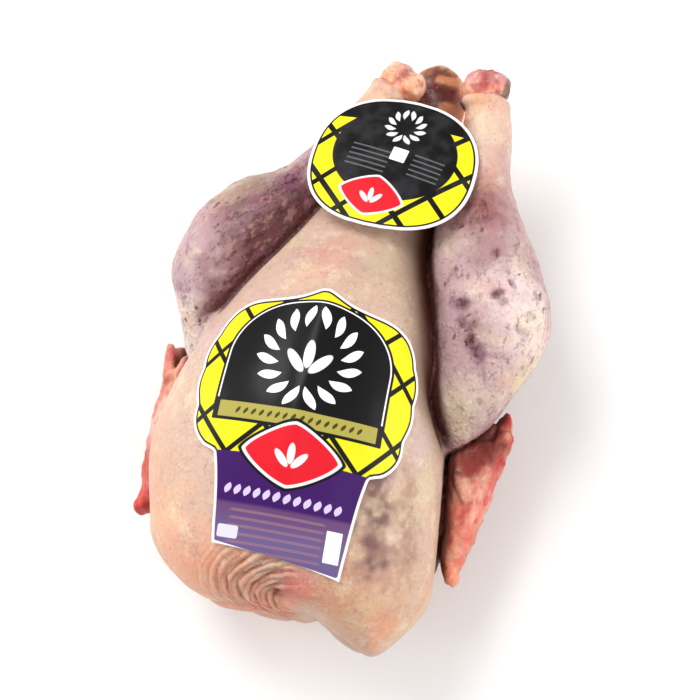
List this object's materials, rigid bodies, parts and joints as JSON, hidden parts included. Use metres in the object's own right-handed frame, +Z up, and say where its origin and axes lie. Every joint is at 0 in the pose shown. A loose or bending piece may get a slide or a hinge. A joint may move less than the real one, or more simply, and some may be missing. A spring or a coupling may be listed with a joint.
{
  "type": "dressed black turkey",
  "caption": "Plucked and drawn turkey lying on its back, breast up, wings folded at its flanks and drumsticks drawn together, with a shield label on the breast and a round tag over the vent.",
  "frame": {"origin": "on the flat of the back that the bird rests on, in the plane of the floor", "axes": "+X to the right of the picture, +Y from the neck end to the hocks, +Z up through the breast"},
  "size_m": [0.2276, 0.3553, 0.1493],
  "materials": {
    "breast_skin": "moist plucked skin, cream with pink and grey patches and fine follicles",
    "leg_skin": "moist plucked skin, mauve grey with dark feather roots",
    "wing_skin": "moist thin skin, orange pink to red",
    "bone_end": "cut joint ends with pale cartilage and pink flesh",
    "label_print": "glossy printed film in black, yellow and purple with a white rim, no lettering"
  },
  "bodies": {
    "root": {"torso": "breast_skin", "neck_skin": "breast_skin", "tail": "wing_skin", "thigh_right": "leg_skin", "thigh_left": "leg_skin", "drumstick_right": "leg_skin", "drumstick_left": "leg_skin", "hock_right": "bone_end", "hock_left": "bone_end", "upper_wing_right": "wing_skin", "upper_wing_left": "wing_skin", "forewing_right": "wing_skin", "forewing_left": "wing_skin", "wing_tip_right": "wing_skin", "wing_tip_left": "wing_skin", "breast_label": "label_print", "leg_tag": "label_print"}
  },
  "joints": []
}
